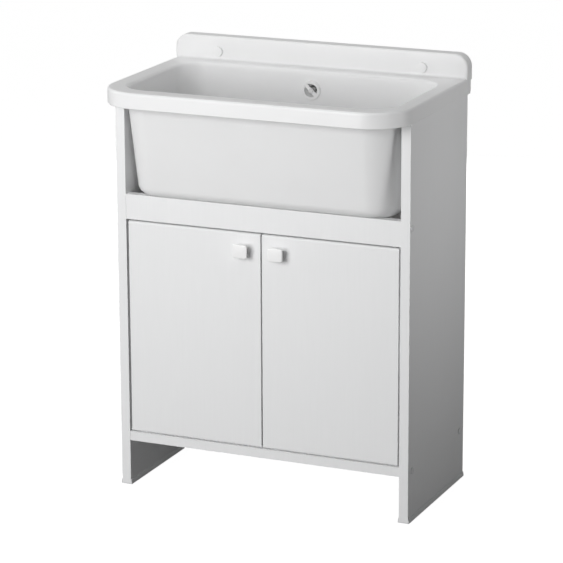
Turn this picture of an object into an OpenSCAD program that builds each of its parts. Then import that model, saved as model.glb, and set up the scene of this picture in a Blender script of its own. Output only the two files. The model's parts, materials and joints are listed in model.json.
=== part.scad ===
// Utility sink: a moulded tub with a backsplash on a two-door panel cabinet.
// Millimetres, +Z up, X across the front, the front faces -Y.
// Origin on the floor, under the middle of the sink.

/* [Sink moulding] */
// Width of the sink over its rim
sink_w = 600; // [560:5:700]
// Depth of the sink from the front of its rim to the wall
sink_d = 380; // [360:5:440]
// Height of the rim above the floor
rim_h = 785; // [760:5:860]
// Depth of the tub from the rim to its underside
tub_depth = 211; // [190:1:230]
// Wall of the moulding
sink_wall = 4; // [3:0.5:5]
// Height of the skirt that hangs round the rim
skirt_h = 30; // [22:1:40]
// Width of the rim beside the tub
side_rim_w = 28; // [28:1:34]
// Width of the rim in front of the tub
front_rim_w = 33; // [28:1:40]
// Depth of the ledge between the tub and the backsplash
ledge_d = 27; // [20:1:34]
// Plan radius of the two front corners
front_corner_r = 80; // [60:1:100]
// Plan radius of the corners of the tub below its lip
tub_corner_r = 50; // [36:1:54]
// Plan radius of the corners of the opening in the rim
opening_corner_r = 62; // [61:1:72]
// Height of the backsplash above the rim
splash_h = 46; // [40:1:70]
// Thickness of the backsplash
splash_t = 25; // [20:1:32]
// Radius of the two upper corners of the backsplash
splash_corner_r = 25; // [10:1:32]
// How far each side of the tub draws in towards its floor
side_draft = 7; // [4:1:20]
// How far the back of the tub draws in towards its floor
back_draft = 10; // [4:1:20]
// How far the foot of the tub stands in front of the cabinet
tub_foot_lead = 12; // [4:1:16]

/* [Cabinet] */
// Thickness of the boards
board_t = 18; // [16:1:22]
// How far the rim stands in front of the cabinet
front_overhang = 80; // [60:1:100]
// Space between the skirt and each side board
skirt_clear = 2; // [1:0.5:4]
// How far the rail and the bottom board lie behind the front of the cabinet
board_inset = 1; // [0.5:0.5:2]
// Height of the rail under the tub
rail_h = 48; // [40:1:60]
// Free height under the bottom board
leg_h = 89; // [70:1:120]
// Thickness of the back boards
back_t = 3; // [3:0.5:5]
// Height of the open gap between the two back boards, for the waste pipe
service_h = 96; // [86:2:140]
// Height of the plastic shoe under each side board
shoe_h = 9; // [6:1:14]

/* [Doors] */
// How far the doors lie behind the front of the cabinet
door_recess = 2; // [1:0.5:4]
// Gap between a door and the side board
door_side_gap = 4; // [3.5:0.5:6]
// Gap between the two doors
door_meeting_gap = 3; // [2:0.5:5]
// Gap above the doors
door_top_gap = 3.5; // [2:0.5:4]
// Gap below the doors
door_bottom_gap = 1.5; // [1.5:0.5:3]
// Radius of the rolled front edges at the top and bottom of a door
door_edge_r = 4; // [2:1:8]
// Distance of the pivot from the outer edge of its door
pivot_inset = 12; // [10:0.5:12]
// Diameter of the pivot pins
pivot_d = 5; // [4:0.5:6]
// Radial clearance between a pivot pin and its bush
pivot_clear = 0.05; // [0.02:0.01:0.1]

/* [Knobs] */
// Width of the face of a knob
knob_w = 30; // [24:1:34]
// Height of the face of a knob
knob_h = 26; // [20:1:34]
// How far a knob stands out from its door
knob_reach = 20; // [18:1:28]
// Distance of a knob from the meeting edge of its door
knob_from_edge = 34; // [26:1:50]
// Distance of a knob from the top of its door
knob_from_top = 32; // [24:1:60]

/* [Plumbing] */
// Distance of the waste behind the middle of the sink
waste_y = 40; // [30:1:46]
// Diameter of the waste pipe
pipe_d = 40; // [38:1:42]
// Depth of the waste pipe below the rim
pipe_drop = 435; // [425:1:465]
// Depth of the overflow below the rim
overflow_drop = 37; // [35:1:50]
// Diameter of the overflow rosette
rosette_d = 39; // [36:1:44]
// Bore of the overflow hose
hose_bore = 20; // [18:0.5:21]
// Radius of the bend in the overflow hose
hose_bend_r = 60; // [52:1:64]

/* [Hidden] */
$fn = 48;

// Small clearance between two pieces that stay fixed to each other
fixed_clear = 0.05;
// Overrun of a cutter past the face that it leaves through
over = 1;

// Sink outline
sink_hw = sink_w / 2;
front_y = -sink_d / 2;
wall_y = sink_d / 2;
skirt_z = rim_h - skirt_h;
pipe_h = rim_h - pipe_drop;
splash_top = rim_h + splash_h;
splash_y = wall_y - splash_t;
rear_corner_r = 6;
rim_edge_r = 5;
skirt_edge = 1;
splash_edge_r = 4;
splash_fillet_r = 5;
splash_root = sink_wall - 0.5;
splash_rib_t = 3;
splash_ribs = 8;

// Cabinet outline
cab_hw = sink_hw - sink_wall - skirt_clear;
cab_in = cab_hw - board_t;
cab_front = front_y + front_overhang;
rail_front = cab_front + board_inset;
rail_back = rail_front + board_t;
rear_clear = 1;
cab_back = wall_y - sink_wall - rear_clear;
board_top = rim_h - sink_wall;
shoe_base = 2;
shoe_wall = 1;
shoe_flare = 0.9;
shoe_lip = 1.5;
shoe_fit = 0.1;
rail_top = rim_h - tub_depth;
rail_z = rail_top - rail_h;
bottom_z = leg_h;
bottom_top = leg_h + board_t;

// Back boards in their grooves
back_rear_edge = 4;
back_y = cab_back - back_rear_edge - back_t;
groove_depth = 8;
groove_clear = 0.2;
back_end_clear = 1;
back_top = board_top - 5;
gap_low = pipe_h - service_h / 2;
gap_top = pipe_h + service_h / 2;

// Tub
lip_r = 7;
tub_hw = sink_hw - side_rim_w - lip_r;
tub_front = front_y + front_rim_w + lip_r;
tub_back = splash_y - ledge_d - lip_r;
tub_top = rim_h - lip_r;
tub_floor = rail_top + sink_wall;
tub_fillet_r = 14;
front_draft = cab_front - tub_foot_lead + sink_wall - tub_front;
underlip = 3;
lip_rounder = opening_corner_r - lip_r - tub_corner_r;
seat_behind_rail = 2;
seat_in = tub_foot_lead + rail_back - cab_front + seat_behind_rail;

// Waste in the floor of the tub
floor_fall = 4;
sump_step = 4;
sump_r = 46;
waste_bore_r = 23;
sump_floor = tub_floor - floor_fall - sump_step;
sump_under = sump_floor - sink_wall;

// Steps round one quarter of a lofted corner and of a lofted edge
corner_steps = 12;
edge_steps = 5;

// Doors
door_h = rail_z - bottom_top - door_top_gap - door_bottom_gap;
door_z = bottom_top + door_bottom_gap;
door_top = door_z + door_h;
door_w = cab_in - door_side_gap - door_meeting_gap / 2;
door_y = cab_front + door_recess;
door_back = door_y + board_t;
pivot_x = cab_in - door_side_gap - pivot_inset;
pivot_y = door_y + board_t / 2;
pivot_r = pivot_d / 2;
pivot_seat = 12;
pivot_reach = 16;
collar_r = pivot_r + 2;
collar_gap = 0.1;
bush_wall = 1.5;
bush_r = pivot_r + pivot_clear + bush_wall;
bush_l = 20;

// Knobs
knob_x = door_meeting_gap / 2 + knob_from_edge;
knob_z = door_top - knob_from_top;
knob_corner_r = 5;
knob_edge_r = 2;
knob_least_r = 1.5;
knob_crown = 0.6;
knob_foot_share = 0.5;
knob_flare_steps = 5;
knob_flare_power = 2.6;
knob_screw_r = 2;
knob_screw_grip = 9;

// Board screws, their caps and the dowels beside them
board_screw_r = 3.5;
board_screw_tip_r = 2.5;
board_screw_l = 50;
board_screw_head_r = 5;
board_screw_head_t = 4;
cap_r = 6.5;
cap_t = 2.4;
cap_stem_r = 1.8;
cap_stem_l = 3;
dowel_r = 4;
dowel_l = 30;
dowel_in_side = 10;
rail_screw_z = rail_top - 13;
rail_dowel_z = rail_z + pivot_seat + dowel_r + 2;
rail_mid_y = rail_front + board_t / 2;
bottom_mid_z = bottom_z + board_t / 2;
front_screw_y = cab_front + 19;
rear_screw_y = cab_back - 22;
screw_spots = [[rail_mid_y, rail_screw_z], [front_screw_y, bottom_mid_z], [rear_screw_y, bottom_mid_z]];
dowel_spots = [[rail_mid_y, rail_dowel_z], [(front_screw_y + rear_screw_y) / 2, bottom_mid_z]];

// Screws that hold the lower back board to the bottom board
back_screws = 5;
back_screw_r = 1.5;
back_screw_l = 16;
back_screw_head_r = 3.5;
back_screw_head_t = 1.8;
back_screw_span = 2 * (cab_in - 40);

// Caps in the screw holes of the backsplash
wall_hole_from_end = 90;
wall_hole_rise = 16;
wall_hole_x = sink_hw - wall_hole_from_end;
wall_hole_z = rim_h + wall_hole_rise;
wall_hole_r = 4;
wall_boss_r = 9;
wall_cap_r = 10;
wall_cap_t = 5;
wall_cap_stem = 14;
dome_steps = 4;

// Overflow, in a frame that leans with the back of the tub
overflow_z = rim_h - overflow_drop;
wall_run = tub_top - tub_floor;
overflow_y = tub_back - back_draft * (tub_top - overflow_z) / wall_run;
overflow_lean = atan(back_draft / wall_run);
overflow_skin = sink_wall * cos(overflow_lean);
overflow_hole_r = 15;
rosette_r = rosette_d / 2;
rosette_t = 3;
rosette_open_r = 13;
rosette_bar_w = 7;
rosette_bar_turn = -42;
funnel_wall = 1.3;
funnel_root = 1;
funnel_r = 8.5;
funnel_l = 7;
overflow_gasket_t = 2.5;
overflow_box_r = 22;
overflow_box_t = 19;
overflow_box_wall = 2;
overflow_screw_r = 2.5;
overflow_boss_r = 5;

// Hose from the overflow to the waste
hose_wall = 1;
hose_rib = 1.5;
hose_pitch = 4;
hose_cuff = 18;
hose_r = hose_bore / 2 + hose_wall;
spigot_r = hose_bore / 2 - 0.3;
spigot_wall = 2;
spigot_l = 14;
spigot_turn = 8;
hose_y = overflow_y + overflow_skin + overflow_gasket_t + hose_r + hose_rib + 2;
spigot_top = overflow_z - overflow_box_r;
hose_top = spigot_top - 1;

// Waste body under the tub
gasket_t = 3;
seal_t = 1.5;
flange_top = sump_under - gasket_t;
flange_r = 31;
flange_t = 3;
cup_r = 27;
cup_in_r = 23.5;
cup_l = 38;
tail_r = pipe_d / 2;
tail_in_r = tail_r - 3;
cone_l = 10;
tail_l = 30;
tail_top = flange_top - flange_t - cup_l - cone_l;
tail_end = tail_top - tail_l;
port_z = flange_top - 22;
port_l = 50;
port_end = waste_y + port_l;
port_seat = cup_in_r + 1.5;
hub_r = 6;
hub_top = flange_top - 6;
hub_l = 18;
waste_screw_r = 3;

// Strainer plate in the sump
strainer_r = 42;
strainer_t = 2;
strainer_neck_r = waste_bore_r - 0.6;
strainer_neck_wall = 1.5;
strainer_neck_l = 8;
strainer_z = sump_floor + seal_t;

// Bottle trap
grip_sides = 12;
inlet_r = 16;
inlet_in_r = 14;
inlet_collar_t = 4;
nut_wall = 5;
nut_hook = 6;
nut_grip = 12;
slip = 0.2;
inlet_top = tail_end - 2;
inlet_nut_z = inlet_top - inlet_collar_t - nut_hook;
body_r = 34;
body_in_r = 30;
body_half = 28;
outlet_r = pipe_d / 2 + 4;
body_top = pipe_h + body_half;
body_bottom = pipe_h - body_half;
dome_l = 8;
neck_r = 21;
neck_l = 20;
neck_top = body_top + dome_l + neck_l;
thread_r = 31.5;
thread_l = 14;
bottle_r = 36;
bottle_in_r = thread_r + slip;
bottle_l = 72;
bottle_round_r = 12;
bottle_floor_t = 3;
bottle_top = body_bottom - seal_t;
inlet_end = bottle_top - bottle_l + 32;
outlet_end = waste_y + 58;
outlet_seal_t = 3;
pipe_wall = 1.8;
pipe_start = waste_y + body_r + 4;
grip_r = pipe_d / 2 + 0.8;
grip_end = outlet_end + outlet_seal_t + nut_hook + 3;

// Magnetic catch behind the rail
catch_hw = 30;
catch_t = 20;
catch_above = 24;
catch_below = 24;
strike_t = 1;
strike_w = 24;
strike_h = 16;
strike_x = door_meeting_gap / 2 + 3 + strike_w / 2;
strike_z = door_top - 12;
catch_air = 0.3;
catch_face = door_back + strike_t + catch_air;
magnet_r = 6;
magnet_l = 8;
catch_screw_r = 1.75;
catch_screw_l = 28;
catch_screw_x = 20;
catch_screw_z = rail_z + 14;
strike_screw_r = 1.5;
strike_screw_l = 12;
strike_screw_head_r = 3;
strike_screw_head_t = 0.8;

// One quarter turn of points round a corner centre
function quarter(cx, cy, r, start) =
    [for (i = [0:corner_steps])
        [cx + r * cos(start + 90 * i / corner_steps), cy + r * sin(start + 90 * i / corner_steps)]];

// A rounded rectangle as one level ring of points
function ring(hw, y0, y1, rf, rb, z) =
    [for (p = concat(
        quarter(-hw + rf, y0 + rf, rf, 180),
        quarter(hw - rf, y0 + rf, rf, 270),
        quarter(hw - rb, y1 - rb, rb, 0),
        quarter(-hw + rb, y1 - rb, rb, 90)))
        [p[0], p[1], z]];

// The outline of the rim, drawn in by an inset
function rim_ring(inset, z) =
    ring(sink_hw - inset, front_y + inset, wall_y - inset,
        front_corner_r - inset, max(rear_corner_r - inset, 1), z);

// The tub at a height, grown outwards by a distance, with rounder corners where asked
function tub_share(z) = (tub_top - z) / wall_run;
function tub_ring(grow, z, rounder = 0) =
    let (f = tub_share(z), r = max(tub_corner_r + grow + rounder, 2))
    ring(tub_hw - side_draft * f + grow, tub_front + front_draft * f - grow,
        tub_back - back_draft * f + grow, r, r, z);

// A nearly round ring about the waste
function waste_ring(r, z) = ring(r, waste_y - r, waste_y + r, r * 0.96, r * 0.96, z);

// Faces of a skin that runs through a closed loop of rings
function loop_faces(count, size) =
    [for (i = [0:count - 1]) for (j = [0:size - 1]) for (half = [0, 1])
        let (next = (i + 1) % count, k = (j + 1) % size)
        half == 0 ? [i * size + j, next * size + k, i * size + k]
            : [i * size + j, next * size + j, next * size + k]];

// Faces of a skin over a stack of rings that is closed at both ends
function stack_faces(count, size) =
    concat(
        [for (i = [0:count - 2]) for (j = [0:size - 1]) for (half = [0, 1])
            let (k = (j + 1) % size)
            half == 0 ? [i * size + j, (i + 1) * size + k, i * size + k]
                : [i * size + j, (i + 1) * size + j, (i + 1) * size + k]],
        [[for (j = [0:size - 1]) j]],
        [[for (j = [0:size - 1]) count * size - 1 - j]]);

function flatten(lists) = [for (l = lists) for (p = l) p];

module looped_skin(rings) {
    polyhedron(points = flatten(rings), faces = loop_faces(len(rings), len(rings[0])));
}

module stacked_skin(rings) {
    polyhedron(points = flatten(rings), faces = stack_faces(len(rings), len(rings[0])));
}

// A tube between two radii
module tube(r_out, r_in, h) {
    difference() {
        cylinder(r = r_out, h = h);
        translate([0, 0, -over]) cylinder(r = r_in, h = h + 2 * over);
    }
}

// A round-cornered rectangle, centred
module rounded_rect(w, h, r) {
    square([w - 2 * r, h], center = true);
    square([w, h - 2 * r], center = true);
    for (x = [-1, 1]) for (y = [-1, 1]) translate([x * (w / 2 - r), y * (h / 2 - r)]) circle(r = r);
}

// Places a child on each of the two sides, the second one mirrored
module both_sides() {
    children();
    mirror([1, 0, 0]) children();
}

// Turns a child so that its +Z points forwards
module facing_front(x, y, z) {
    translate([x, y, z]) rotate([90, 0, 0]) children();
}

// Turns a child so that its +Z points to the wall
module facing_wall(x, y, z) {
    translate([x, y, z]) rotate([-90, 0, 0]) children();
}

// Turns a child so that its +Z points from the right side board into the cabinet
module into_right(y, z) {
    translate([cab_hw, y, z]) rotate([0, -90, 0]) children();
}

// Places a child on the inside of the tub at the overflow, its +Z out of the wall
module at_overflow() {
    translate([0, overflow_y, overflow_z]) rotate([90 - overflow_lean, 0, 0]) children();
}

// The tub, its rolled rim and the skirt, as one skin of even wall
module basin_shell() {
    looped_skin(concat(
        [rim_ring(skirt_edge, skirt_z), rim_ring(0, skirt_z + skirt_edge)],
        [for (i = [0:edge_steps]) let (a = 90 * i / edge_steps)
            rim_ring(rim_edge_r * (1 - cos(a)), rim_h - rim_edge_r * (1 - sin(a)))],
        [for (i = [0:edge_steps]) let (a = 90 - 90 * i / edge_steps)
            let (flare = 1 - cos(a))
            tub_ring(lip_r * flare, rim_h - lip_r * (1 - sin(a)), lip_rounder * flare)],
        [for (i = [0:edge_steps]) let (a = 90 * i / edge_steps)
            tub_ring(-tub_fillet_r * (1 - cos(a)), tub_floor + tub_fillet_r * (1 - sin(a)))],
        [tub_ring(-seat_in, tub_floor),
            waste_ring(sump_r + sump_step, tub_floor - floor_fall),
            waste_ring(sump_r, sump_floor),
            waste_ring(waste_bore_r - 3, sump_floor),
            waste_ring(waste_bore_r - 3, sump_under),
            waste_ring(sump_r + sink_wall, sump_under),
            waste_ring(sump_r + sump_step + sink_wall, tub_floor - floor_fall - sink_wall),
            tub_ring(-seat_in, rail_top)],
        [for (i = [edge_steps:-1:0]) let (a = 90 * i / edge_steps)
            let (r = tub_fillet_r + sink_wall)
            tub_ring(sink_wall - r * (1 - cos(a)), rail_top + r * (1 - sin(a)))],
        [tub_ring(sink_wall, board_top - underlip - 1),
            tub_ring(sink_wall + underlip, board_top),
            rim_ring(sink_wall, board_top),
            rim_ring(sink_wall, skirt_z)]
    ));
}

// One upright slice of the backsplash, drawn in by an inset
function splash_slice(inset, y) =
    let (hw = sink_hw - inset, top = splash_top - inset, r = splash_corner_r - inset)
    let (low = rim_h - splash_root)
    [for (p = concat([[-hw, low]], [[hw, low]], quarter(hw - r, top - r, r, 0),
        quarter(-hw + r, top - r, r, 90))) [p[0], y, p[1]]];

module backsplash() {
    stacked_skin(concat(
        [splash_slice(0, wall_y)],
        [for (i = [0:edge_steps]) let (a = 90 * i / edge_steps)
            splash_slice(splash_edge_r * (1 - cos(a)), splash_y + splash_edge_r * (1 - sin(a)))]
    ));
    // Fillet between the ledge and the backsplash
    translate([-sink_hw + rim_edge_r, splash_y, rim_h]) rotate([90, 0, 90])
        linear_extrude(sink_w - 2 * rim_edge_r) difference() {
            translate([-splash_fillet_r, -1]) square([splash_fillet_r + 1, splash_fillet_r + 1]);
            translate([-splash_fillet_r, splash_fillet_r]) circle(r = splash_fillet_r);
        }
}

// Hollow of the backsplash, open to the wall, with its ribs and screw bosses left standing
module backsplash_pockets() {
    pocket_hw = sink_hw - sink_wall;
    pocket_low = rim_h + sink_wall;
    pocket_top = splash_top - sink_wall;
    r = splash_corner_r - sink_wall;
    pitch = 2 * pocket_hw / (splash_ribs + 1);
    facing_wall(0, splash_y + sink_wall, 0) linear_extrude(splash_t) mirror([0, 1]) difference() {
        union() {
            translate([-pocket_hw, pocket_low]) square([2 * pocket_hw, pocket_top - r - pocket_low]);
            translate([-pocket_hw + r, pocket_low]) square([2 * (pocket_hw - r), pocket_top - pocket_low]);
            for (x = [-1, 1]) translate([x * (pocket_hw - r), pocket_top - r]) circle(r = r);
        }
        for (i = [1:splash_ribs])
            translate([-pocket_hw + i * pitch - splash_rib_t / 2, 0])
                square([splash_rib_t, splash_top + over]);
        for (x = [-1, 1]) translate([x * wall_hole_x, wall_hole_z]) circle(r = wall_boss_r);
    }
}

module basin() {
    color("white") difference() {
        union() {
            basin_shell();
            backsplash();
        }
        backsplash_pockets();
        // Screw holes to the wall
        for (x = [-1, 1]) facing_wall(x * wall_hole_x, splash_y - over, wall_hole_z)
            cylinder(r = wall_hole_r, h = splash_t + 2 * over);
        // Overflow hole
        at_overflow() translate([0, 0, -sink_wall - over])
            cylinder(r = overflow_hole_r, h = sink_wall + 2 * over);
        // Waste hole
        translate([0, waste_y, sump_under - over])
            cylinder(r = waste_bore_r, h = sink_wall + 2 * over);
    }
}

// Holes for the board screws and dowels, drilled from the right side
module right_board_holes() {
    for (s = screw_spots) into_right(s[0], s[1]) {
        translate([0, 0, -over]) cylinder(r = board_screw_r + fixed_clear, h = board_t + over);
        cylinder(r = board_screw_tip_r + fixed_clear, h = board_screw_l + over);
        translate([0, 0, -over])
            cylinder(r = board_screw_head_r + fixed_clear, h = board_screw_head_t + fixed_clear + over);
    }
    for (s = dowel_spots) into_right(s[0], s[1]) translate([0, 0, board_t - dowel_in_side - 0.5])
        cylinder(r = dowel_r + fixed_clear, h = dowel_l + 1);
}

module right_side() {
    difference() {
        translate([cab_in, cab_front, shoe_base])
            cube([board_t, cab_back - cab_front, board_top - shoe_base]);
        right_board_holes();
        for (z = [[bottom_z, gap_low + back_end_clear], [gap_top, board_top + over]])
            translate([cab_in - over, back_y - groove_clear, z[0]])
                cube([groove_depth + over, back_t + 2 * groove_clear, z[1] - z[0]]);
    }
}

module left_side_panel() {
    color("whitesmoke") mirror([1, 0, 0]) right_side();
}

module right_side_panel() {
    color("whitesmoke") right_side();
}

module bottom_panel() {
    color("whitesmoke") difference() {
        translate([-cab_in, rail_front, bottom_z])
            cube([2 * cab_in, back_y - rail_front, board_t]);
        both_sides() right_board_holes();
        both_sides() translate([pivot_x, pivot_y, bottom_top - pivot_seat])
            cylinder(r = pivot_r + fixed_clear, h = pivot_seat + over);
        back_screw_places() cylinder(r = back_screw_r + fixed_clear, h = back_screw_l);
    }
}

module front_rail() {
    color("whitesmoke") difference() {
        translate([-cab_in, rail_front, rail_z]) cube([2 * cab_in, board_t, rail_h]);
        both_sides() right_board_holes();
        both_sides() translate([pivot_x, pivot_y, rail_z - over])
            cylinder(r = pivot_r + fixed_clear, h = pivot_seat + over);
        catch_screw_places() cylinder(r = catch_screw_r + fixed_clear, h = catch_screw_l + 0.5);
    }
}

// Places of the screws through the lower back board, heads outside, +Z into the bottom board
module back_screw_places() {
    for (i = [0:back_screws - 1])
        facing_front(-back_screw_span / 2 + i * back_screw_span / (back_screws - 1),
            back_y + back_t, bottom_mid_z) children();
}

// Lower and upper back board; the upper one rests on the ends of its grooves
module back_panel() {
    hw = cab_in + groove_depth - back_end_clear;
    color("gainsboro") difference() {
        for (z = [[bottom_z, gap_low], [gap_top, back_top]])
            translate([-hw, back_y, z[0]]) cube([2 * hw, back_t, z[1] - z[0]]);
        back_screw_places() translate([0, 0, -over])
            cylinder(r = back_screw_r + fixed_clear, h = back_t + 2 * over);
    }
}

module back_panel_screws() {
    color("silver") back_screw_places() {
        translate([0, 0, -back_screw_head_t]) cylinder(r = back_screw_head_r, h = back_screw_head_t);
        cylinder(r = back_screw_r, h = back_screw_l - 0.5);
    }
}

// A door board with rolled front edges along its top and bottom
module right_door_board() {
    difference() {
        translate([door_meeting_gap / 2, door_y, door_z]) rotate([90, 0, 90]) linear_extrude(door_w) {
            translate([0, door_edge_r]) square([board_t, door_h - 2 * door_edge_r]);
            translate([door_edge_r, 0]) square([board_t - door_edge_r, door_h]);
            for (v = [door_edge_r, door_h - door_edge_r])
                translate([door_edge_r, v]) circle(r = door_edge_r);
        }
        for (z = [door_z - over, door_top - bush_l - fixed_clear]) translate([pivot_x, pivot_y, z])
            cylinder(r = bush_r + fixed_clear, h = bush_l + fixed_clear + over);
        facing_wall(knob_x, door_y - over, knob_z)
            cylinder(r = knob_screw_r + 0.2, h = board_t + 2 * over);
        facing_front(strike_x, door_back + over, strike_z)
            cylinder(r = strike_screw_r + fixed_clear, h = strike_screw_l + over);
    }
}

module left_door() {
    color("white") mirror([1, 0, 0]) right_door_board();
}

module right_door() {
    color("white") right_door_board();
}

// A knob: a square face with soft edges that narrows in a hollow curve to its foot
module right_knob_solid() {
    bore = knob_screw_grip + 1;
    facing_front(knob_x, door_y, knob_z) difference() {
        stacked_skin(knob_rings());
        translate([0, 0, -over]) cylinder(r = knob_screw_r + fixed_clear, h = bore + over);
    }
}

// One ring of a knob, at a share of the size of its face and drawn in by an inset
function knob_ring(share, inset, z) =
    let (r = max(knob_corner_r * share - inset, knob_least_r), hh = share * knob_h / 2 - inset)
    ring(share * knob_w / 2 - inset, -hh, hh, r, r, z);

// Rings of a knob, from its foot on the door to its slightly crowned face
function knob_rings() =
    let (rim = knob_reach - knob_crown)
    concat(
        [for (i = [0:knob_flare_steps]) let (s = i / knob_flare_steps)
            knob_ring(knob_foot_share + (1 - knob_foot_share) * pow(s, knob_flare_power), 0,
                s * (rim - knob_edge_r))],
        [for (i = [1:edge_steps]) let (a = 90 * i / edge_steps)
            knob_ring(1, knob_edge_r * (1 - cos(a)), rim - knob_edge_r * (1 - sin(a)))],
        [knob_ring(1, knob_h / 3, knob_reach)]);

module left_knob() {
    color("white") mirror([1, 0, 0]) right_knob_solid();
}

module right_knob() {
    color("white") right_knob_solid();
}

module right_knob_screw_solid() {
    facing_front(knob_x, door_back, knob_z) {
        translate([0, 0, -2]) cylinder(r1 = 3, r2 = 4, h = 2);
        cylinder(r = knob_screw_r, h = board_t + knob_screw_grip);
    }
}

module left_knob_screw() {
    color("silver") mirror([1, 0, 0]) right_knob_screw_solid();
}

module right_knob_screw() {
    color("silver") right_knob_screw_solid();
}

// A plastic channel on the lower edge of a side board, widening towards its foot
module shoe_profile() {
    inner = board_t / 2 + shoe_fit;
    outer = inner + shoe_wall;
    difference() {
        polygon([[-outer - shoe_flare, 0], [outer + shoe_flare, 0], [outer + shoe_flare, shoe_lip],
            [outer, shoe_h], [-outer, shoe_h], [-outer - shoe_flare, shoe_lip]]);
        translate([-inner, shoe_base]) square([2 * inner, shoe_h]);
    }
}

module right_shoe_solid() {
    facing_front(cab_in + board_t / 2, cab_back + rear_clear, 0)
        linear_extrude(cab_back + rear_clear - cab_front) shoe_profile();
}

module left_foot_strip() {
    color("lightgray") mirror([1, 0, 0]) right_shoe_solid();
}

module right_foot_strip() {
    color("lightgray") right_shoe_solid();
}

// Pivot pins with a collar, seated in the boards
module lower_pivots() {
    color("silver") both_sides() translate([pivot_x, pivot_y, bottom_top]) {
        translate([0, 0, -pivot_seat]) cylinder(r = pivot_r, h = pivot_seat + pivot_reach);
        cylinder(r = collar_r, h = door_bottom_gap - collar_gap);
    }
}

module upper_pivots() {
    color("silver") both_sides() translate([pivot_x, pivot_y, rail_z]) {
        translate([0, 0, -pivot_reach]) cylinder(r = pivot_r, h = pivot_seat + pivot_reach);
        translate([0, 0, -1]) cylinder(r = collar_r, h = 1);
    }
}

module right_bushes() {
    for (z = [door_z, door_top - bush_l]) translate([pivot_x, pivot_y, z])
        tube(bush_r, pivot_r + pivot_clear, bush_l);
}

module left_door_bushes() {
    color("ivory") mirror([1, 0, 0]) right_bushes();
}

module right_door_bushes() {
    color("ivory") right_bushes();
}

// Board screws: a sunk head, a shank in the side board and a thinner thread beyond it
module panel_screws() {
    color("silver") both_sides() for (s = screw_spots) into_right(s[0], s[1]) difference() {
        union() {
            cylinder(r = board_screw_head_r, h = board_screw_head_t);
            cylinder(r = board_screw_r, h = board_t - fixed_clear);
            cylinder(r = board_screw_tip_r, h = board_screw_l);
        }
        translate([0, 0, -over]) cylinder(r = cap_stem_r + fixed_clear, h = cap_stem_l + 0.5 + over);
    }
}

module panel_dowels() {
    color("burlywood") both_sides() for (s = dowel_spots) into_right(s[0], s[1])
        translate([0, 0, board_t - dowel_in_side]) cylinder(r = dowel_r, h = dowel_l);
}

// A domed cap of a few cones that stands on its rim, with a stem below it
module domed_cap(r, rise, stem_r, stem_l) {
    rotate_extrude() polygon(concat([[0, 0], [r, 0]],
        [for (i = [0:dome_steps]) let (a = 90 * i / dome_steps) [r * cos(a), rise * (0.3 + 0.7 * sin(a))]]));
    translate([0, 0, -stem_l]) cylinder(r = stem_r, h = stem_l + rise / 2);
}

// Domed caps over the board screws
module right_caps() {
    for (s = screw_spots) into_right(s[0], s[1]) mirror([0, 0, 1])
        domed_cap(cap_r, cap_t, cap_stem_r, cap_stem_l);
}

module left_screw_caps() {
    color("gainsboro") mirror([1, 0, 0]) right_caps();
}

module right_screw_caps() {
    color("gainsboro") right_caps();
}

// Mushroom caps that close the screw holes of the backsplash
module wall_hole_caps() {
    color("white") for (x = [-1, 1]) facing_front(x * wall_hole_x, splash_y, wall_hole_z)
        domed_cap(wall_cap_r, wall_cap_t, wall_hole_r - fixed_clear, wall_cap_stem);
}

// Rosette on the overflow: a rounded ring over a funnel, with one slanting bar and a screw seat
module overflow_rosette() {
    bar_l = 2 * rosette_open_r + 2;
    color("white") at_overflow() difference() {
        union() {
            rotate_extrude() difference() {
                translate([rosette_open_r, 0]) square([rosette_r - rosette_open_r, rosette_t]);
                translate([rosette_r, rosette_t]) circle(r = 1.5);
            }
            rotate_extrude() polygon([[rosette_open_r, funnel_root],
                [rosette_open_r + funnel_wall, funnel_root], [rosette_open_r + funnel_wall, -funnel_root],
                [funnel_r + funnel_wall, -funnel_l], [funnel_r, -funnel_l]]);
            rotate([0, 0, rosette_bar_turn]) translate([-bar_l / 2, -rosette_bar_w / 2, 0])
                cube([bar_l, rosette_bar_w, rosette_t - 0.6]);
            cylinder(r = overflow_boss_r, h = rosette_t - 0.6);
        }
        translate([0, 0, -over]) cylinder(r = overflow_screw_r + 0.2, h = rosette_t + 2 * over);
    }
}

module overflow_screw() {
    color("silver") at_overflow() {
        translate([0, 0, rosette_t - 0.6]) cylinder(r1 = 4.5, r2 = 3.6, h = 1.6);
        translate([0, 0, -overflow_skin - overflow_gasket_t - 8])
            cylinder(r = overflow_screw_r, h = overflow_skin + overflow_gasket_t + 8 + rosette_t - 0.6);
    }
}

module overflow_gasket() {
    color("dimgray") at_overflow() translate([0, 0, -overflow_skin - overflow_gasket_t])
        tube(overflow_box_r - 1, overflow_hole_r + 1, overflow_gasket_t);
}

// Round box behind the overflow, with a screw hub and a spigot that points down
module overflow_elbow() {
    box_top = -overflow_skin - overflow_gasket_t;
    color("white") difference() {
        union() {
            at_overflow() translate([0, 0, box_top - overflow_box_t])
                cylinder(r = overflow_box_r, h = overflow_box_t);
            translate([0, hose_y, spigot_top - spigot_l])
                cylinder(r = spigot_r, h = spigot_l + spigot_turn);
        }
        difference() {
            at_overflow() translate([0, 0, box_top - overflow_box_t + overflow_box_wall])
                cylinder(r = overflow_box_r - overflow_box_wall, h = overflow_box_t);
            at_overflow() translate([0, 0, box_top - overflow_box_t])
                cylinder(r = overflow_boss_r, h = overflow_box_t - 2);
        }
        at_overflow() translate([0, 0, box_top - 10]) cylinder(r = overflow_screw_r + 0.1, h = 20);
        translate([0, hose_y, spigot_top - spigot_l - over])
            cylinder(r = spigot_r - spigot_wall, h = spigot_l + spigot_turn + over);
    }
}

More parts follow.
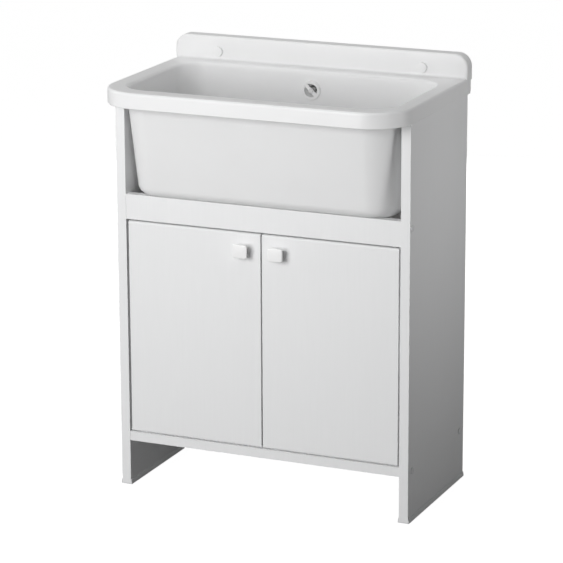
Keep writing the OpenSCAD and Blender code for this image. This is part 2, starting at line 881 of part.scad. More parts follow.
// Middle line of the hose: down from the overflow, then round into the waste
bend_z = port_z + hose_bend_r;
hose_drop = hose_top - bend_z;
hose_run = hose_y - hose_bend_r - port_end;
bend_l = hose_bend_r * PI / 2;
hose_in = spigot_l + 4;
hose_l = hose_drop + bend_l + hose_run + hose_in;
function hose_point(s) =
    s < hose_drop ? [hose_y, hose_top - s]
    : s < hose_drop + bend_l ?
        let (a = (s - hose_drop) / hose_bend_r * 180 / PI)
        [hose_y - hose_bend_r * (1 - cos(a)), bend_z - hose_bend_r * sin(a)]
    : [hose_y - hose_bend_r - (s - hose_drop - bend_l), port_z];
function hose_turn(s) =
    s < hose_drop ? 0 : s < hose_drop + bend_l ? (s - hose_drop) / hose_bend_r * 180 / PI : 90;
hose_sides = 8;

// One ring square to the hose; its corners stand out so that the flats keep the radius
function hose_ring(s, r) =
    let (c = hose_point(s), a = hose_turn(s), reach = r / cos(180 / hose_sides))
    [for (i = [0:hose_sides - 1]) let (t = 360 * (i + 0.5) / hose_sides)
        [reach * cos(t), c[0] + reach * sin(t) * cos(a), c[1] - reach * sin(t) * sin(a)]];

// Corrugated hose with plain cuffs and a round bore
module overflow_hose() {
    ribs = floor((hose_l - 2 * hose_cuff) / hose_pitch);
    pitch = (hose_l - 2 * hose_cuff) / ribs;
    bore_steps = ceil(hose_l / (2 * hose_pitch));
    outer = concat([hose_ring(0, hose_r)],
        [for (i = [0:ribs - 1]) for (k = [0, 1])
            hose_ring(hose_cuff + (i + 0.25 + 0.5 * k) * pitch, hose_r + (k == 0 ? 0 : hose_rib))],
        [hose_ring(hose_l, hose_r)]);
    bore = [for (i = [0:bore_steps]) hose_ring(hose_l * (1 - i / bore_steps), hose_r - hose_wall)];
    color("gainsboro") looped_skin(concat(outer, bore));
}

// Strainer: a dished plate with a neck in the waste hole and a pattern of holes
module waste_strainer() {
    color("silver") translate([0, waste_y, strainer_z]) difference() {
        union() {
            rotate_extrude() {
                translate([0, 0]) square([strainer_r - 1, strainer_t]);
                translate([strainer_r - 1, strainer_t / 2]) circle(r = strainer_t / 2);
            }
            translate([0, 0, -strainer_neck_l])
                tube(strainer_neck_r, strainer_neck_r - strainer_neck_wall, strainer_neck_l + 0.5);
        }
        translate([0, 0, -over]) cylinder(r = waste_screw_r + 0.2, h = strainer_t + 2 * over);
        for (row = [[8, 10.5], [12, 16.5]]) for (i = [1:row[0]])
            rotate([0, 0, 360 * i / row[0]]) translate([row[1], 0, -over])
                cylinder(r = 2.2, h = strainer_t + 2 * over, $fn = 24);
    }
}

module waste_screw() {
    color("silver") translate([0, waste_y, strainer_z + strainer_t]) {
        cylinder(r1 = 6, r2 = 4.6, h = 2);
        translate([0, 0, -strainer_z - strainer_t + hub_top - hub_l + 3])
            cylinder(r = waste_screw_r, h = strainer_z + strainer_t - hub_top + hub_l - 3);
    }
}

module waste_upper_gasket() {
    color("dimgray") translate([0, waste_y, sump_floor])
        tube(strainer_r - 1.5, waste_bore_r + 0.5, seal_t);
}

module waste_lower_gasket() {
    color("dimgray") translate([0, waste_y, flange_top]) tube(flange_r - 1, waste_bore_r + 0.5, gasket_t);
}

// Waste body: flange, cup with a screw hub on three arms, side port and threaded tail
module waste_body() {
    cup_z = flange_top - flange_t - cup_l;
    color("white") translate([0, waste_y, 0]) {
        difference() {
            union() {
                rotate_extrude() polygon([
                    [cup_in_r, flange_top], [flange_r, flange_top], [flange_r, flange_top - flange_t],
                    [cup_r, flange_top - flange_t], [cup_r, cup_z], [tail_r, tail_top],
                    [tail_r, tail_end], [tail_in_r, tail_end], [tail_in_r, tail_top], [cup_in_r, cup_z + 2]]);
                facing_wall(0, port_seat, port_z) cylinder(r = spigot_r, h = port_l - port_seat);
            }
            facing_wall(0, cup_in_r - 3, port_z) cylinder(r = spigot_r - spigot_wall, h = port_l);
        }
        difference() {
            union() {
                translate([0, 0, hub_top - hub_l]) cylinder(r = hub_r, h = hub_l);
                for (a = [90, 210, 330]) rotate([0, 0, a])
                    translate([0, -1.5, hub_top - hub_l]) cube([cup_in_r + 1, 3, 6]);
            }
            translate([0, 0, hub_top - hub_l + 2]) cylinder(r = waste_screw_r + 0.1, h = hub_l);
        }
    }
}

// A union nut: grips the outside of a pipe end and hooks behind a collar
module union_nut(thread, pass, grip, hook) {
    outer = thread + nut_wall;
    difference() {
        union() {
            cylinder(r = outer, h = grip + hook, $fn = grip_sides);
            cylinder(r = outer * cos(180 / grip_sides) + 0.8, h = 3);
        }
        translate([0, 0, hook]) cylinder(r = thread + slip, h = grip + over);
        translate([0, 0, -over]) cylinder(r = pass + slip, h = grip + hook + 2 * over);
    }
}

module trap_inlet_nut() {
    color("white") translate([0, waste_y, inlet_nut_z])
        union_nut(tail_r, inlet_r, inlet_collar_t + nut_grip, nut_hook);
}

module trap_inlet_seal() {
    color("dimgray") translate([0, waste_y, inlet_top]) tube(tail_r - 0.5, inlet_in_r, 2);
}

module trap_inlet_tube() {
    color("white") translate([0, waste_y, 0]) {
        translate([0, 0, inlet_end]) tube(inlet_r, inlet_in_r, inlet_top - inlet_end);
        translate([0, 0, inlet_top - inlet_collar_t]) tube(tail_r - 0.5, inlet_in_r, inlet_collar_t);
    }
}

module trap_neck_nut() {
    color("white") translate([0, waste_y, neck_top + 2 + nut_hook]) mirror([0, 0, 1])
        union_nut(neck_r, inlet_r, nut_grip, nut_hook);
}

module trap_neck_seal() {
    color("dimgray") translate([0, waste_y, neck_top]) tube(neck_r - 0.5, inlet_r + 0.1, 2);
}

// Trap body: neck, dome, chamber with the outlet branch, and the thread for the cup
module trap_body() {
    color("white") translate([0, waste_y, 0]) difference() {
        union() {
            rotate_extrude() polygon([
                [0, neck_top], [neck_r, neck_top], [neck_r, body_top + dome_l], [body_r, body_top],
                [body_r, body_bottom], [thread_r, body_bottom], [thread_r, body_bottom - thread_l],
                [0, body_bottom - thread_l]]);
            facing_wall(0, body_in_r - 4, pipe_h) cylinder(r = outlet_r, h = outlet_end - waste_y - body_in_r + 4);
        }
        rotate_extrude() polygon([
            [0, neck_top + over], [inlet_r + slip, neck_top + over], [inlet_r + slip, body_top + 4],
            [body_in_r, body_top - 4], [body_in_r, body_bottom], [thread_r - 3, body_bottom - 4],
            [thread_r - 3, body_bottom - thread_l - over], [0, body_bottom - thread_l - over]]);
        facing_wall(0, 0, pipe_h) cylinder(r = pipe_d / 2 - 4, h = outlet_end);
        facing_wall(0, pipe_start - waste_y - 1, pipe_h) cylinder(r = grip_r + slip, h = outlet_end);
    }
}

module trap_cup_seal() {
    color("dimgray") translate([0, waste_y, bottle_top]) tube(bottle_r - 0.5, thread_r + 0.1, seal_t);
}

// Screw-off cup of the trap with a rounded floor
module trap_cup() {
    wall = bottle_r - bottle_in_r;
    color("white") translate([0, waste_y, bottle_top - bottle_l]) difference() {
        union() {
            rotate_extrude() {
                square([bottle_r - bottle_round_r, bottle_l]);
                translate([0, bottle_round_r]) square([bottle_r, bottle_l - bottle_round_r]);
                translate([bottle_r - bottle_round_r, bottle_round_r]) circle(r = bottle_round_r);
            }
            for (i = [1:grip_sides]) rotate([0, 0, 360 * i / grip_sides])
                translate([bottle_r - 1, -1.5, bottle_l - 22]) cube([2.2, 3, 22]);
        }
        translate([0, 0, bottle_floor_t]) rotate_extrude() {
            square([bottle_in_r - bottle_round_r + wall, bottle_l]);
            translate([0, bottle_round_r]) square([bottle_in_r, bottle_l]);
            translate([bottle_in_r - bottle_round_r + wall, bottle_round_r])
                intersection() {
                    circle(r = bottle_round_r - wall);
                    square(bottle_r, center = true);
                }
        }
    }
}

module outlet_nut() {
    color("white") facing_front(0, outlet_end + outlet_seal_t + nut_hook, pipe_h)
        union_nut(outlet_r, grip_r, nut_grip + outlet_seal_t, nut_hook);
}

module outlet_seal() {
    color("dimgray") facing_wall(0, outlet_end, pipe_h)
        tube(outlet_r - 0.5, grip_r + 0.1, outlet_seal_t);
}

// Outlet pipe, thicker where the seal and its nut grip it
module outlet_pipe() {
    bore_r = pipe_d / 2 - pipe_wall;
    color("white") facing_wall(0, pipe_start, pipe_h) {
        tube(pipe_d / 2, bore_r, wall_y - pipe_start);
        tube(grip_r, bore_r, grip_end - pipe_start);
    }
}

// Places of the catch screws, heads on the catch, +Z into the rail
module catch_screw_places() {
    both_sides() facing_front(catch_screw_x, rail_back + catch_t, catch_screw_z) children();
}

// Catch: a block on the back of the rail with two magnet pockets behind the doors
module door_catch() {
    color("white") difference() {
        union() {
            translate([-catch_hw, rail_back, rail_z + 1]) cube([2 * catch_hw, catch_t, catch_above]);
            translate([-catch_hw, catch_face, rail_z - catch_below])
                cube([2 * catch_hw, rail_back + catch_t - catch_face, catch_below + 2]);
        }
        catch_screw_places() translate([0, 0, -over])
            cylinder(r = catch_screw_r + 0.2, h = catch_t + 2 * over);
        both_sides() facing_wall(strike_x, catch_face - over, strike_z)
            cylinder(r = magnet_r + fixed_clear, h = magnet_l + over + 0.1);
    }
}

module catch_magnets() {
    color("dimgray") both_sides() facing_wall(strike_x, catch_face, strike_z)
        cylinder(r = magnet_r, h = magnet_l);
}

module catch_screws() {
    color("silver") catch_screw_places() {
        translate([0, 0, -2]) cylinder(r1 = 2.6, r2 = 3.5, h = 2);
        cylinder(r = catch_screw_r, h = catch_screw_l);
    }
}

// Steel plate on the back of a door that meets the magnet
module right_strike() {
    facing_front(strike_x, door_back + strike_t, strike_z) difference() {
        linear_extrude(strike_t) rounded_rect(strike_w, strike_h, 2);
        cylinder(r1 = strike_screw_head_r + fixed_clear, r2 = strike_screw_r + fixed_clear,
            h = strike_screw_head_t + fixed_clear);
        translate([0, 0, -over]) cylinder(r = strike_screw_r + fixed_clear, h = strike_t + 2 * over);
    }
}

module right_strike_fixing() {
    facing_front(strike_x, door_back + strike_t, strike_z) {
        cylinder(r1 = strike_screw_head_r, r2 = strike_screw_r, h = strike_screw_head_t);
        cylinder(r = strike_screw_r, h = strike_screw_l);
    }
}

module left_strike_plate() {
    color("silver") mirror([1, 0, 0]) right_strike();
}

module right_strike_plate() {
    color("silver") right_strike();
}

module left_strike_screw() {
    color("gray") mirror([1, 0, 0]) right_strike_fixing();
}

module right_strike_screw() {
    color("gray") right_strike_fixing();
}

basin();
left_side_panel();
right_side_panel();
bottom_panel();
front_rail();
back_panel();
left_door();
right_door();
left_knob();
right_knob();
left_knob_screw();
right_knob_screw();
left_foot_strip();
right_foot_strip();
lower_pivots();
upper_pivots();
left_door_bushes();
right_door_bushes();
panel_screws();
panel_dowels();
left_screw_caps();
right_screw_caps();
back_panel_screws();
wall_hole_caps();
overflow_rosette();
overflow_screw();
overflow_gasket();
overflow_elbow();
overflow_hose();
waste_strainer();
waste_screw();
waste_upper_gasket();
waste_lower_gasket();
waste_body();
trap_inlet_nut();
trap_inlet_seal();
trap_inlet_tube();
trap_neck_nut();
trap_neck_seal();
trap_body();
trap_cup_seal();
trap_cup();
outlet_nut();
outlet_seal();
outlet_pipe();
door_catch();
catch_magnets();
catch_screws();
left_strike_plate();
right_strike_plate();
left_strike_screw();
right_strike_screw();
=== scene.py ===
import json
import math

import bmesh
import bpy
from mathutils import Matrix, Vector


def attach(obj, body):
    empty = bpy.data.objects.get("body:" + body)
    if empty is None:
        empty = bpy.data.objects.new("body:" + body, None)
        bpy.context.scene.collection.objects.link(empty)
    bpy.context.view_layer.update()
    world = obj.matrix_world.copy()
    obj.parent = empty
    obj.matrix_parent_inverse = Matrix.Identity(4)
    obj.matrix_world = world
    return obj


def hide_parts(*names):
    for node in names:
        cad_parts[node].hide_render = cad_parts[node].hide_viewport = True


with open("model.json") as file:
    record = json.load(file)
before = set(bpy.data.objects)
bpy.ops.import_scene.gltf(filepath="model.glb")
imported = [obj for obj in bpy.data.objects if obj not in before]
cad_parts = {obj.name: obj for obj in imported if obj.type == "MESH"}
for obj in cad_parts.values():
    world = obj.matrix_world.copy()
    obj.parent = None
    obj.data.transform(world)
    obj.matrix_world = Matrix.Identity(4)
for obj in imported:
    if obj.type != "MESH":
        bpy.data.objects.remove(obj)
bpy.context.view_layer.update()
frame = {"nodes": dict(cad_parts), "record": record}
nodes = frame["nodes"]

# Camera, for an image of 563 x 563

IMAGE_SIZE = 563
SENSOR = 36.0
FOCAL_PX = 2838.0
CAMERA_PLACE = (2.0593, -4.727, 1.816)
YAW, PITCH, ROLL = 0.412, 0.267, -0.004


def make_camera():
    data = bpy.data.cameras.new("camera")
    data.sensor_width = SENSOR
    data.lens = SENSOR * FOCAL_PX / IMAGE_SIZE
    data.clip_end = 100.0
    camera = bpy.data.objects.new("camera", data)
    bpy.context.scene.collection.objects.link(camera)
    turn = (
        Matrix.Rotation(YAW, 4, "Z")
        @ Matrix.Rotation(math.pi / 2 - PITCH, 4, "X")
        @ Matrix.Rotation(ROLL, 4, "Z")
    )
    camera.matrix_world = Matrix.Translation(CAMERA_PLACE) @ turn
    bpy.context.scene.camera = camera


# Materials

# How much of the white background a glossy ray sees, and how bright the sky is as a lamp
GLOSSY_SHARE = 0.5
SKY_FILL = 0.05

# Noise scales: how many features stand in a metre
MOTTLE_SCALE, GLOSS_SCALE = 9.0, 60.0
PEARL_SCALE, BOARD_SHADE_SCALE = 1400.0, 5.0
SPANGLE_SCALE = 220.0

# How dark the darkest places are, as a share of the colour
LAMINATE_DARK = 0.978
METAL_DARK = 0.86

# How high the surface stands, in metres
GRAIN_DEPTH, PEARL_DEPTH = 0.00002, 0.00001
BRUSHED_DEPTH = 0.00001
WOOD_DEPTH = 0.00005

COAT_ROUGHNESS = 0.12
LAMINATE_SPECULAR = 0.3


class Nodes:
    """A node tree under construction."""

    def __init__(self, tree):
        self.tree = tree

    def node(self, kind, **settings):
        made = self.tree.nodes.new(kind)
        for key, value in settings.items():
            if hasattr(made, key):
                setattr(made, key, value)
            else:
                made.inputs[key].default_value = value
        return made

    def link(self, source, target):
        self.tree.links.new(source, target)

    def ramp(self, value, low, high, out_low=0.0, out_high=1.0):
        made = self.node("ShaderNodeMapRange")
        made.inputs["From Min"].default_value = low
        made.inputs["From Max"].default_value = high
        made.inputs["To Min"].default_value = out_low
        made.inputs["To Max"].default_value = out_high
        self.link(value, made.inputs["Value"])
        return made.outputs["Result"]

    def math(self, operation, first, second):
        made = self.node("ShaderNodeMath", operation=operation)
        for socket, value in zip(made.inputs, (first, second)):
            if isinstance(value, (int, float)):
                socket.default_value = value
            else:
                self.link(value, socket)
        return made.outputs[0]

    def seen_directly(self):
        """How much of the white background a ray sees: a share of it for glossy rays,
        all of it for camera and transmission rays, and none for the light that falls."""
        path = self.node("ShaderNodeLightPath").outputs
        glossy = self.math("MULTIPLY", path["Is Glossy Ray"], GLOSSY_SHARE)
        total = self.math("ADD", path["Is Camera Ray"], glossy)
        return self.math("MINIMUM", self.math("ADD", total, path["Is Transmission Ray"]), 1.0)


class Recipe(Nodes):
    """A node material under construction, in the object's own metres."""

    def __init__(self, name):
        self.mat = bpy.data.materials.new(name)
        self.mat.use_nodes = True
        super().__init__(self.mat.node_tree)
        self.bsdf = self.tree.nodes["Principled BSDF"]
        self.coords = self.tree.nodes.new("ShaderNodeTexCoord").outputs["Object"]

    def stretched(self, scale):
        mapping = self.node("ShaderNodeMapping")
        mapping.inputs["Scale"].default_value = scale
        self.link(self.coords, mapping.inputs["Vector"])
        return mapping.outputs["Vector"]

    def noise(self, scale, detail=3.0, rough=0.5, vector=None):
        made = self.node("ShaderNodeTexNoise", Scale=scale, Detail=detail, Roughness=rough)
        self.link(vector or self.coords, made.inputs["Vector"])
        return made.outputs["Fac"]

    def mix(self, factor, first, second):
        """A blend of two colours."""
        made = self.node("ShaderNodeMix", data_type="RGBA")
        sockets = [s for s in made.inputs if s.type == "RGBA"]
        self.link(factor, made.inputs[0])
        for socket, colour in zip(sockets, (first, second)):
            socket.default_value = (*colour, 1.0)
        return next(s for s in made.outputs if s.type == "RGBA")

    def set(self, **sockets):
        """Sets the shader's sockets, to a number, a colour or another node's output."""
        for key, value in sockets.items():
            socket = self.bsdf.inputs[key.replace("_", " ")]
            if isinstance(value, tuple):
                socket.default_value = (*value, 1.0)
            elif isinstance(value, (int, float)):
                socket.default_value = value
            else:
                self.link(value, socket)

    def bump(self, *layers):
        """Each layer is a height and how many metres it stands."""
        normal = None
        for height, distance in layers:
            made = self.node("ShaderNodeBump", Strength=1.0, Distance=distance)
            self.link(height, made.inputs["Height"])
            if normal:
                self.link(normal, made.inputs["Normal"])
            normal = made.outputs["Normal"]
        self.link(normal, self.bsdf.inputs["Normal"])


def grey(level, tint=0.0):
    """A grey, a little cooler for a positive tint and warmer for a negative one."""
    return (level * (1 - tint), level, level * (1 + tint))


def darker(colour, share):
    return tuple(c * share for c in colour)


def plastic(name, colour, roughness, grain, depth, coat=0.0, mottle=0.03):
    """Moulded plastic: slow mottling, a fine orange peel and uneven gloss."""
    made = Recipe(name)
    slow = made.noise(MOTTLE_SCALE, 2.0)
    fine = made.noise(grain, 3.0)
    gloss = made.noise(GLOSS_SCALE, 4.0)
    made.set(
        Base_Color=made.mix(made.ramp(slow, 0.35, 0.65), colour, darker(colour, 1 - mottle)),
        Roughness=made.ramp(gloss, 0.3, 0.7, roughness * 0.85, roughness * 1.2),
        Coat_Weight=coat,
        Coat_Roughness=COAT_ROUGHNESS,
    )
    made.bump((fine, depth))
    return made.mat


def laminate(name, colour, roughness, grain_scale):
    """Melamine-faced board: a pearl surface with faint drawn-out grain."""
    made = Recipe(name)
    grain = made.noise(1.0, 5.0, 0.6, made.stretched(grain_scale))
    pearl = made.noise(PEARL_SCALE, 2.0)
    slow = made.noise(BOARD_SHADE_SCALE, 2.0)
    pale = made.math("MULTIPLY", made.ramp(grain, 0.3, 0.7), made.ramp(slow, 0.3, 0.7, 0.6, 1.0))
    made.set(
        Base_Color=made.mix(pale, darker(colour, LAMINATE_DARK), colour),
        Roughness=made.ramp(pearl, 0.3, 0.7, roughness * 0.85, roughness * 1.15),
        Specular_IOR_Level=LAMINATE_SPECULAR,
    )
    made.bump((grain, GRAIN_DEPTH), (pearl, PEARL_DEPTH))
    return made.mat


def metal(name, colour, roughness, brushed):
    """Metal with brushed lines and patches of slightly darker spangle."""
    made = Recipe(name)
    lines = made.noise(1.0, 4.0, 0.6, made.stretched(brushed))
    spangle = made.noise(SPANGLE_SCALE, 2.0)
    made.set(
        Base_Color=made.mix(made.ramp(spangle, 0.35, 0.65), darker(colour, METAL_DARK), colour),
        Metallic=1.0,
        Roughness=made.ramp(lines, 0.3, 0.7, roughness * 0.8, roughness * 1.3),
    )
    made.bump((lines, BRUSHED_DEPTH))
    return made.mat


def wood(name, pale, dark, grain_scale, roughness):
    """Wood or wood fibre, streaked along its grain."""
    made = Recipe(name)
    grain = made.noise(1.0, 6.0, 0.65, made.stretched(grain_scale))
    made.set(Base_Color=made.mix(made.ramp(grain, 0.35, 0.65), pale, dark), Roughness=roughness)
    made.bump((grain, WOOD_DEPTH))
    return made.mat


# The arguments of each material's recipe, under the name of its slot in the record
PLASTICS = {
    "sink_resin": dict(
        colour=grey(0.88, 0.002), roughness=0.38, grain=260.0, depth=0.00002, coat=0.05, mottle=0.015
    ),
    "knob_plastic": dict(
        colour=grey(0.95), roughness=0.34, grain=500.0, depth=0.00001, coat=0.1, mottle=0.015
    ),
    "trim_plastic": dict(colour=grey(0.78, 0.006), roughness=0.42, grain=700.0, depth=0.00002),
    "pivot_nylon": dict(colour=(0.84, 0.82, 0.75), roughness=0.45, grain=500.0, depth=0.00002),
    "overflow_plastic": dict(colour=grey(0.88), roughness=0.3, grain=400.0, depth=0.00001, coat=0.1),
    "plumbing_plastic": dict(colour=grey(0.86, -0.006), roughness=0.35, grain=420.0, depth=0.00003),
    "hose_plastic": dict(colour=grey(0.74, -0.006), roughness=0.42, grain=600.0, depth=0.00002),
    "seal_rubber": dict(colour=grey(0.045), roughness=0.75, grain=900.0, depth=0.00004, mottle=0.2),
    "magnet_ferrite": dict(colour=grey(0.07), roughness=0.6, grain=1200.0, depth=0.00004, mottle=0.3),
}
LAMINATES = {
    "board_laminate": dict(colour=grey(0.90, 0.004), roughness=0.5, grain_scale=(260.0, 260.0, 18.0)),
    "door_laminate": dict(colour=grey(0.90, 0.004), roughness=0.48, grain_scale=(420.0, 420.0, 14.0)),
}
METALS = {
    "strainer_steel": dict(colour=grey(0.6), roughness=0.42, brushed=(30.0, 900.0, 900.0)),
    "zinc_steel": dict(colour=grey(0.62, 0.01), roughness=0.32, brushed=(300.0, 300.0, 300.0)),
}
WOODS = {
    "hardboard": dict(
        pale=grey(0.80, -0.01), dark=grey(0.74, -0.02), grain_scale=(90.0, 90.0, 60.0), roughness=0.6
    ),
    "dowel_beech": dict(
        pale=(0.62, 0.42, 0.24), dark=(0.50, 0.31, 0.16), grain_scale=(9.0, 400.0, 400.0), roughness=0.6
    ),
}

materials = {}
for recipe, table in ((plastic, PLASTICS), (laminate, LAMINATES), (metal, METALS), (wood, WOODS)):
    for name, arguments in table.items():
        materials[name] = recipe(name, **arguments)

slot_of = {p["node"]: p["material_slot"] for p in frame["record"]["subparts"]}
for name, obj in nodes.items():
    for slot in obj.material_slots:
        slot.material = materials[slot_of[name]]
    if not obj.material_slots:
        obj.data.materials.append(materials[slot_of[name]])

# Pieces that stand for CAD nodes

WELD = 1e-6


def new_piece(name, mesh, node, body):
    mesh.materials.clear()
    mesh.materials.append(materials[slot_of[node]])
    piece = bpy.data.objects.new(name, mesh)
    bpy.context.scene.collection.objects.link(piece)
    normals = piece.modifiers.new("normals", "WEIGHTED_NORMAL")
    normals.mode = "FACE_AREA"
    normals.keep_sharp = True
    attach(piece, body)
    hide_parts(node)
    return piece


def shade(work, mesh, sharp_degrees):
    """Writes a bmesh with smooth faces, sharp where they meet at more than an angle."""
    sharp = math.radians(sharp_degrees)
    for face in work.faces:
        face.smooth = True
    for edge in work.edges:
        edge.smooth = len(edge.link_faces) == 2 and edge.calc_face_angle(0.0) < sharp
    work.to_mesh(mesh)
    work.free()
    old = mesh.attributes.get("custom_normal")
    if old:
        mesh.attributes.remove(old)


def moulded(node, name, body, sharp_degrees):
    """The node's own skin, welded and shaded smoothly: a lofted node loads with flat faces."""
    work = bmesh.new()
    work.from_mesh(nodes[node].data)
    bmesh.ops.remove_doubles(work, verts=work.verts, dist=WELD)
    mesh = bpy.data.meshes.new(name)
    shade(work, mesh, sharp_degrees)
    return new_piece(name, mesh, node, body)


# Overflow hose, in metres: down from the overflow, then round into the waste
HOSE_Y, HOSE_TOP, HOSE_PORT_Z = 0.150495, 0.725, 0.541
HOSE_BEND_R, HOSE_LENGTH, HOSE_CUFF = 0.060, 0.23674, 0.018
HOSE_R, HOSE_BORE_R, HOSE_RIB = 0.011, 0.010, 0.0015
HOSE_RIBS, HOSE_SIDES, RIB_STEPS = 50, 40, 8
HOSE_SHARP = 60


def hose_ring(s, radius):
    """One ring square to the hose, at a length along it."""
    drop = HOSE_TOP - HOSE_PORT_Z - HOSE_BEND_R
    turn = min(max((s - drop) / HOSE_BEND_R, 0.0), math.pi / 2)
    past = max(s - drop - HOSE_BEND_R * math.pi / 2, 0.0)
    y = HOSE_Y - HOSE_BEND_R * (1 - math.cos(turn)) - past
    z = HOSE_TOP - min(s, drop) - HOSE_BEND_R * math.sin(turn)
    ring = []
    for side in range(HOSE_SIDES):
        t = math.tau * side / HOSE_SIDES
        ring.append((
            radius * math.cos(t),
            y + radius * math.sin(t) * math.cos(turn),
            z - radius * math.sin(t) * math.sin(turn),
        ))
    return ring


def ribbed_hose():
    """A tube with a plain cuff at each end, ribs between them and an open bore."""
    rings = [hose_ring(0.0, HOSE_R)]
    ribbed = HOSE_LENGTH - 2 * HOSE_CUFF
    for step in range(HOSE_RIBS * RIB_STEPS + 1):
        wave = 0.5 - 0.5 * math.cos(math.tau * step / RIB_STEPS)
        s = HOSE_CUFF + ribbed * step / (HOSE_RIBS * RIB_STEPS)
        rings.append(hose_ring(s, HOSE_R + HOSE_RIB * wave))
    rings.append(hose_ring(HOSE_LENGTH, HOSE_R))
    for step in range(HOSE_RIBS + 1):
        rings.append(hose_ring(HOSE_LENGTH * (1 - step / HOSE_RIBS), HOSE_BORE_R))
    faces = []
    for i in range(len(rings)):
        j = (i + 1) % len(rings)
        for a in range(HOSE_SIDES):
            b = (a + 1) % HOSE_SIDES
            faces.append([k * HOSE_SIDES + c for k, c in ((i, a), (i, b), (j, b), (j, a))])
    mesh = bpy.data.meshes.new("hose_corrugated")
    mesh.from_pydata([point for ring in rings for point in ring], [], faces)
    work = bmesh.new()
    work.from_mesh(mesh)
    bmesh.ops.recalc_face_normals(work, faces=work.faces)
    shade(work, mesh, HOSE_SHARP)
    return new_piece("hose_corrugated", mesh, "overflow_hose", "cabinet")


# Push-in caps, in metres: an upright wall, a rounded edge and a low crown on a stem
WALL_CAP = dict(radius=0.010, height=0.005, edge=0.0016, stem_r=0.0038, stem_l=0.014)
SCREW_CAP = dict(radius=0.0065, height=0.0024, edge=0.0009, stem_r=0.0018, stem_l=0.003)
CAP_SIDES, CAP_STEPS = 40, 6
CROWN_SHARE = 0.12
CAP_SHARP = 50


def cap_profile(radius, height, edge, stem_r, stem_l):
    """Radius and height of each ring, from the stem's end up to the middle of the crown."""
    crown = height * CROWN_SHARE
    shoulder = height - crown
    points = [(stem_r, -stem_l), (stem_r, 0.0), (radius, 0.0)]
    for step in range(CAP_STEPS + 1):
        t = math.pi / 2 * step / CAP_STEPS
        points.append((radius - edge + edge * math.cos(t), shoulder - edge + edge * math.sin(t)))
    for step in range(1, CAP_STEPS):
        share = step / CAP_STEPS
        points.append(((radius - edge) * (1 - share), shoulder + crown * (1 - (1 - share) ** 2)))
    return points


def islands(mesh):
    """The groups of joined vertices of a mesh, as lists of places, in the mesh's own order."""
    work = bmesh.new()
    work.from_mesh(mesh)
    bmesh.ops.remove_doubles(work, verts=work.verts, dist=WELD)
    seen = set()
    groups = []
    for start in work.verts:
        if start in seen:
            continue
        seen.add(start)
        queue = [start]
        group = []
        while queue:
            vert = queue.pop()
            group.append(vert.co.copy())
            for edge in vert.link_edges:
                other = edge.other_vert(vert)
                if other not in seen:
                    seen.add(other)
                    queue.append(other)
        groups.append(group)
    work.free()
    return groups


def push_in_caps(node, name, body, out, size):
    """Turned caps that stand out along a direction, one for each solid of a node."""
    out = Vector(out)
    turn = out.to_track_quat("Z", "Y").to_matrix()
    profile = cap_profile(**size)
    work = bmesh.new()
    for group in islands(nodes[node].data):
        low = Vector([min(p[i] for p in group) for i in range(3)])
        high = Vector([max(p[i] for p in group) for i in range(3)])
        middle = (low + high) / 2
        top = max(p.dot(out) for p in group)
        foot = middle + out * (top - size["height"] - middle.dot(out))
        rings = []
        for r, h in profile:
            ring = []
            for side in range(CAP_SIDES):
                t = math.tau * side / CAP_SIDES
                place = turn @ Vector((r * math.cos(t), r * math.sin(t), h))
                ring.append(work.verts.new(foot + place))
            rings.append(ring)
        for lower, upper in zip(rings, rings[1:]):
            for a in range(CAP_SIDES):
                b = (a + 1) % CAP_SIDES
                work.faces.new((lower[a], lower[b], upper[b], upper[a]))
        work.faces.new(rings[0][::-1])
        peak = work.verts.new(foot + out * size["height"])
        for a in range(CAP_SIDES):
            work.faces.new((rings[-1][a], rings[-1][(a + 1) % CAP_SIDES], peak))
    bmesh.ops.recalc_face_normals(work, faces=work.faces)
    mesh = bpy.data.meshes.new(name)
    shade(work, mesh, CAP_SHARP)
    return new_piece(name, mesh, node, body)


ribbed_hose()
push_in_caps("wall_hole_caps", "splash_caps", "cabinet", (0, -1, 0), WALL_CAP)
push_in_caps("left_screw_caps", "left_side_caps", "cabinet", (-1, 0, 0), SCREW_CAP)
push_in_caps("right_screw_caps", "right_side_caps", "cabinet", (1, 0, 0), SCREW_CAP)
moulded("basin", "basin_moulding", "cabinet", sharp_degrees=32)
moulded("left_knob", "left_knob_moulding", "left_door_leaf", sharp_degrees=40)
moulded("right_knob", "right_knob_moulding", "right_door_leaf", sharp_degrees=40)

# Studio

# Floor: half its width in metres, the paint that takes shadows, and the glow that shows as white
FLOOR_HALF = 12.0
FLOOR_GREY, FLOOR_ROUGHNESS = 0.12, 0.9
FLOOR_GLOW = 0.96
WHITE = (1.0, 1.0, 1.0, 1.0)


def area_light(name, place, target, size, power, spread=180.0):
    """A rectangular lamp, in metres, watts and degrees, turned from its place to a target."""
    data = bpy.data.lights.new(name, "AREA")
    data.shape = "RECTANGLE"
    data.spread = math.radians(spread)
    data.size, data.size_y = size
    data.energy = power
    lamp = bpy.data.objects.new(name, data)
    bpy.context.scene.collection.objects.link(lamp)
    lamp.visible_camera = False
    lamp.location = place
    lamp.rotation_mode = "QUATERNION"
    lamp.rotation_quaternion = (Vector(target) - Vector(place)).to_track_quat("-Z", "Y")


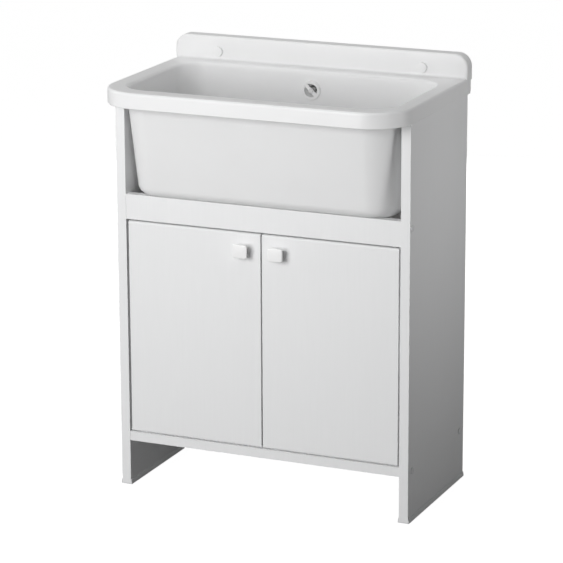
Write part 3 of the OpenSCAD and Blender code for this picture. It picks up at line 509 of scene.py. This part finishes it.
def make_floor():
    """A floor that is grey to the light that falls on the object and white to look at."""
    mesh = bpy.data.meshes.new("floor")
    corners = [(-1, -1), (1, -1), (1, 1), (-1, 1)]
    mesh.from_pydata([(FLOOR_HALF * x, FLOOR_HALF * y, 0) for x, y in corners], [], [(0, 1, 2, 3)])
    floor = bpy.data.objects.new("floor", mesh)
    bpy.context.scene.collection.objects.link(floor)
    made = Recipe("floor_paint")
    output = next(n for n in made.tree.nodes if n.type == "OUTPUT_MATERIAL")
    made.set(Base_Color=grey(FLOOR_GREY), Roughness=FLOOR_ROUGHNESS)
    glow = made.node("ShaderNodeEmission", Color=WHITE, Strength=FLOOR_GLOW)
    lit = made.node("ShaderNodeAddShader")
    made.link(made.bsdf.outputs[0], lit.inputs[0])
    made.link(glow.outputs[0], lit.inputs[1])
    choose = made.node("ShaderNodeMixShader")
    made.link(made.seen_directly(), choose.inputs[0])
    made.link(made.bsdf.outputs[0], choose.inputs[1])
    made.link(lit.outputs[0], choose.inputs[2])
    made.link(choose.outputs[0], output.inputs["Surface"])
    mesh.materials.append(made.mat)


def make_world():
    """A sky that is white to look at and gives only a little light."""
    world = bpy.data.worlds.new("studio")
    bpy.context.scene.world = world
    world.use_nodes = True
    made = Nodes(world.node_tree)
    sky = made.tree.nodes["Background"]
    sky.inputs["Color"].default_value = WHITE
    made.link(made.ramp(made.seen_directly(), 0.0, 1.0, SKY_FILL, 1.0), sky.inputs["Strength"])


make_camera()
make_floor()
make_world()
area_light("key", (-0.45, -2.4, 1.1), (0.0, 0.0, 0.55), size=(1.4, 1.4), power=47.0)
area_light("top", (-0.2, -1.6, 2.4), (0.0, 0.0, 0.6), size=(2.0, 1.6), power=5.0)
area_light("overhead", (-0.35, 0.5, 2.4), (0.0, 0.15, 0.6), size=(1.3, 1.0), power=12.0)
area_light("right", (1.9, 0.2, 0.85), (0.3, 0.05, 0.7), size=(0.5, 0.5), power=1.15, spread=60.0)
area_light("left", (-2.6, -0.5, 1.3), (0.0, 0.0, 0.5), size=(1.4, 1.4), power=10.0)
area_light("back", (-0.7, 2.8, 0.4), (0.0, 0.0, 0.4), size=(1.6, 0.7), power=45.0)

view = bpy.context.scene.view_settings
view.view_transform = "Standard"
